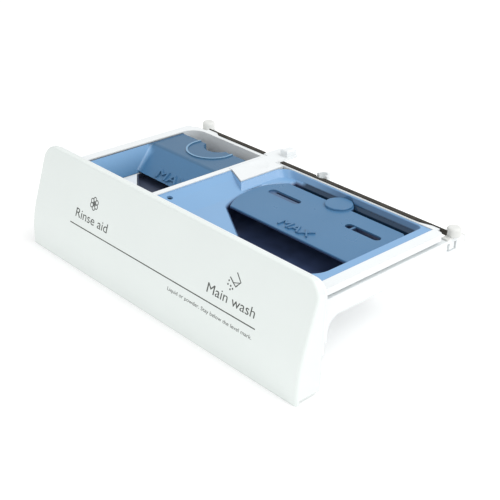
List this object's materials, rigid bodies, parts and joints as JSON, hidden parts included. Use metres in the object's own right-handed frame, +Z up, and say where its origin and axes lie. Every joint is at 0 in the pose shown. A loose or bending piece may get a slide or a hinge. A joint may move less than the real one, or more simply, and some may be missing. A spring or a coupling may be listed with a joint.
{
  "type": "washing machine detergent drawer",
  "caption": "Detergent dispenser drawer of a front loading washer: curved front panel, shallow tray, lift-out blue cup and siphon inserts, release lever.",
  "frame": {"origin": "bottom centre of the bounding box: under the middle of the drawer, at the height of the front panel's bottom edge", "axes": "+X to the right as the user faces the drawer, +Y from the front panel into the machine, +Z up"},
  "size_m": [0.25, 0.1526, 0.068],
  "materials": {
    "panel_gloss": "high gloss",
    "white_plastic": "smooth satin",
    "blue_light": "satin gloss",
    "blue_plastic": "satin",
    "grey_plastic": "satin",
    "navy_plastic": "satin",
    "seal_rubber": "matt",
    "screw_steel": "zinc plated",
    "spring_steel": "bright wire"
  },
  "bodies": {
    "drawer": {"front_panel": "panel_gloss", "grip_frame": "white_plastic", "panel_screws": "screw_steel", "tray_screws": "screw_steel", "drawer_body": "white_plastic", "lever_pin": "screw_steel", "lever_spring": "spring_steel", "softener_well_liner": "navy_plastic", "rear_seal_left": "seal_rubber", "rear_seal_right": "seal_rubber", "guide_shoe_left": "grey_plastic", "guide_shoe_right": "grey_plastic", "stop_buffers": "grey_plastic"},
    "cup": {"detergent_cup": "blue_light"},
    "detergent_lid": {"detergent_insert": "blue_plastic", "detergent_siphon_cap": "blue_plastic"},
    "softener_lid": {"softener_insert": "blue_plastic", "softener_siphon_cap": "blue_plastic"},
    "lever": {"release_lever": "white_plastic"}
  },
  "joints": [
    {"name": "cup_lift", "type": "slide", "parent": "drawer", "child": "cup", "axis": [0, 0, 1], "range_m": [0, 0.06]},
    {"name": "detergent_insert_lift", "type": "slide", "parent": "cup", "child": "detergent_lid", "axis": [0, 0, 1], "range_m": [0, 0.05]},
    {"name": "softener_insert_lift", "type": "slide", "parent": "drawer", "child": "softener_lid", "axis": [0, 0, 1], "range_m": [0, 0.05]},
    {"name": "lever_press", "type": "hinge", "parent": "drawer", "child": "lever", "pos_m": [-0.0283, 0.02775, 0.052], "axis": [-1, 0, 0], "range_deg": [0, 6], "stiffness_Nm_per_rad": 0.9, "springref_deg": -2.86, "deforming": ["lever_spring"]}
  ]
}
